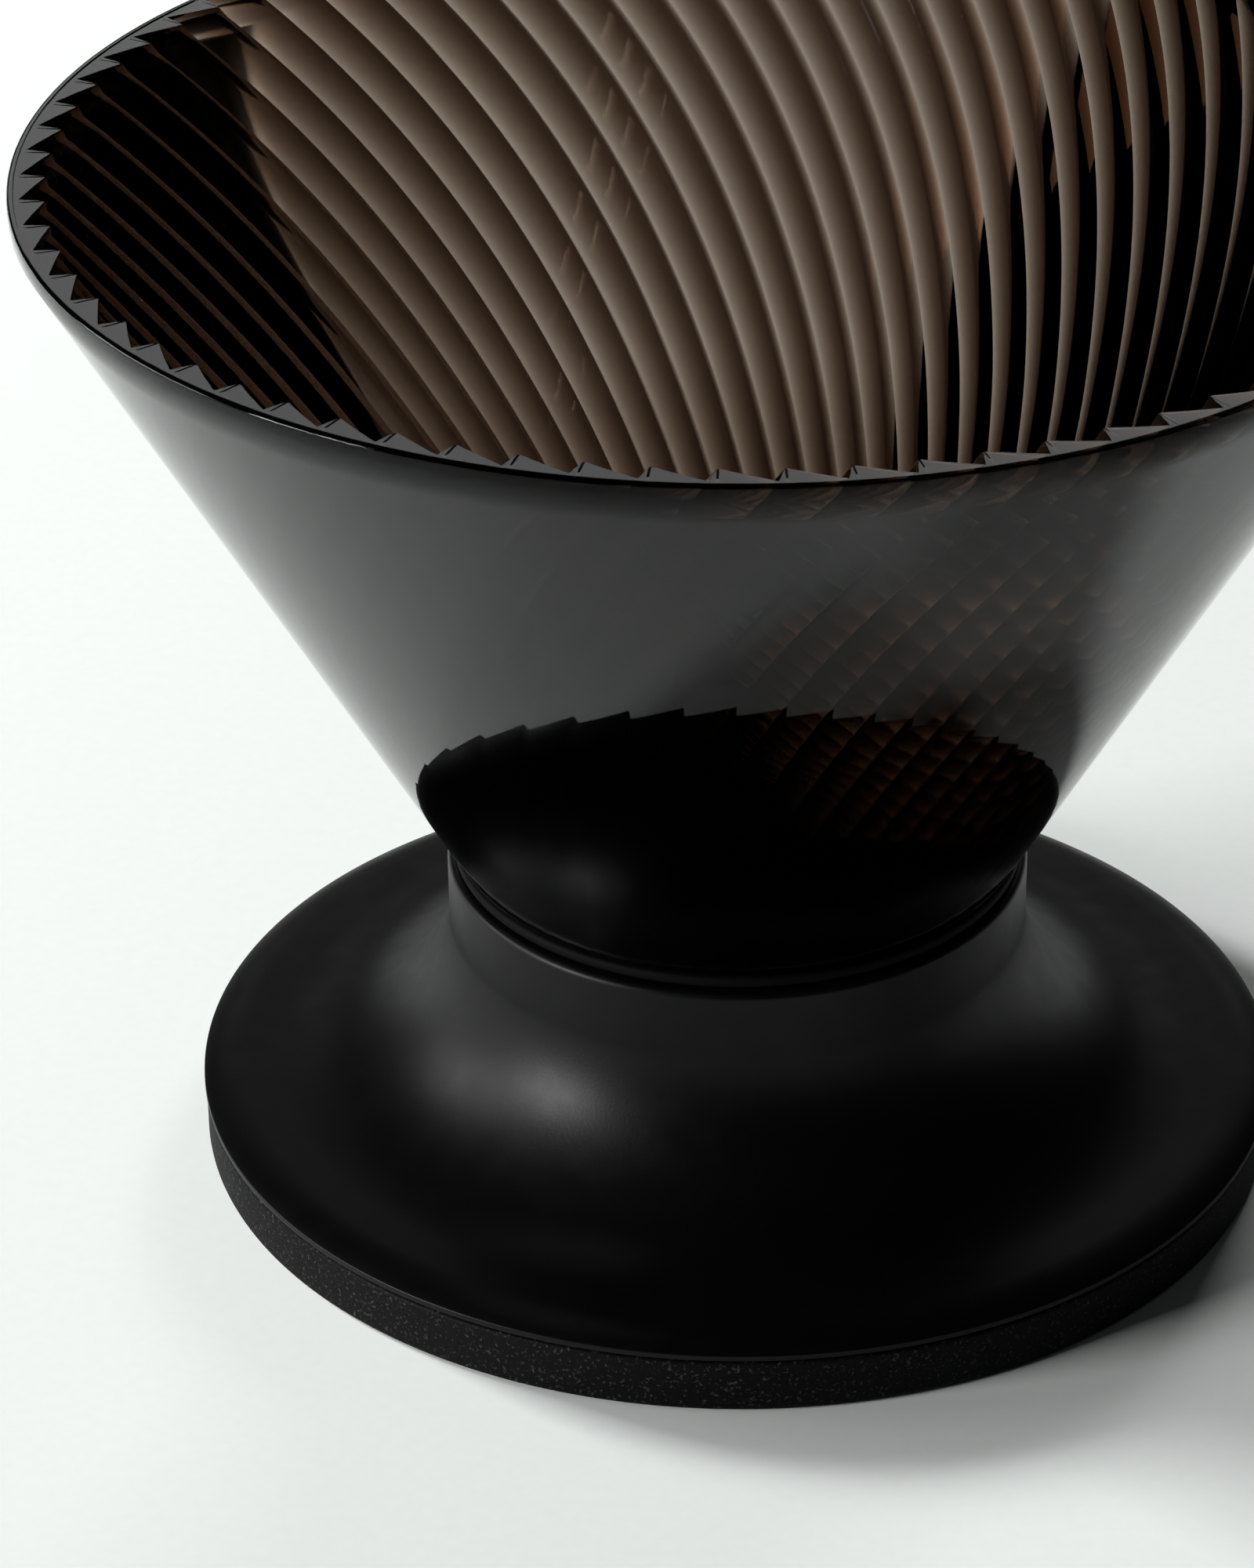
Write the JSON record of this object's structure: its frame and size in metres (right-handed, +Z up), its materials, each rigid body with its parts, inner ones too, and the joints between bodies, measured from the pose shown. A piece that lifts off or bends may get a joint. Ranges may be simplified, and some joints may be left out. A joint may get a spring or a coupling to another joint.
{
  "type": "pour over dripper",
  "caption": "Smoked cone dripper with spiral saw-tooth ribs, standing in a separate flared black base with a soft band round its edge.",
  "frame": {"origin": "on the dripper's axis, in the plane that the base stands on", "axes": "+Z up along the axis of the cone and base; +X and +Y are across the rim, +Y away from the viewer"},
  "size_m": [0.116, 0.116, 0.0888],
  "materials": {
    "base_plastic": "fine satin",
    "band_silicone": "matt, finely speckled",
    "gasket_silicone": "matt",
    "smoked_plastic": "clear smoked, polished outside"
  },
  "bodies": {
    "base": {"base_shell": "base_plastic", "foot_band": "band_silicone"},
    "gasket": {"neck_gasket": "gasket_silicone"},
    "cone": {"dripper_cone": "smoked_plastic"}
  },
  "joints": [
    {"name": "cone_lift", "type": "slide", "parent": "base", "child": "gasket", "axis": [0, 0, 1], "range_m": [0, 0.04]},
    {"name": "cone_turn", "type": "hinge", "parent": "gasket", "child": "cone", "pos_m": [0, 0, 0.0267], "axis": [0, 0, 1], "continuous": true}
  ]
}
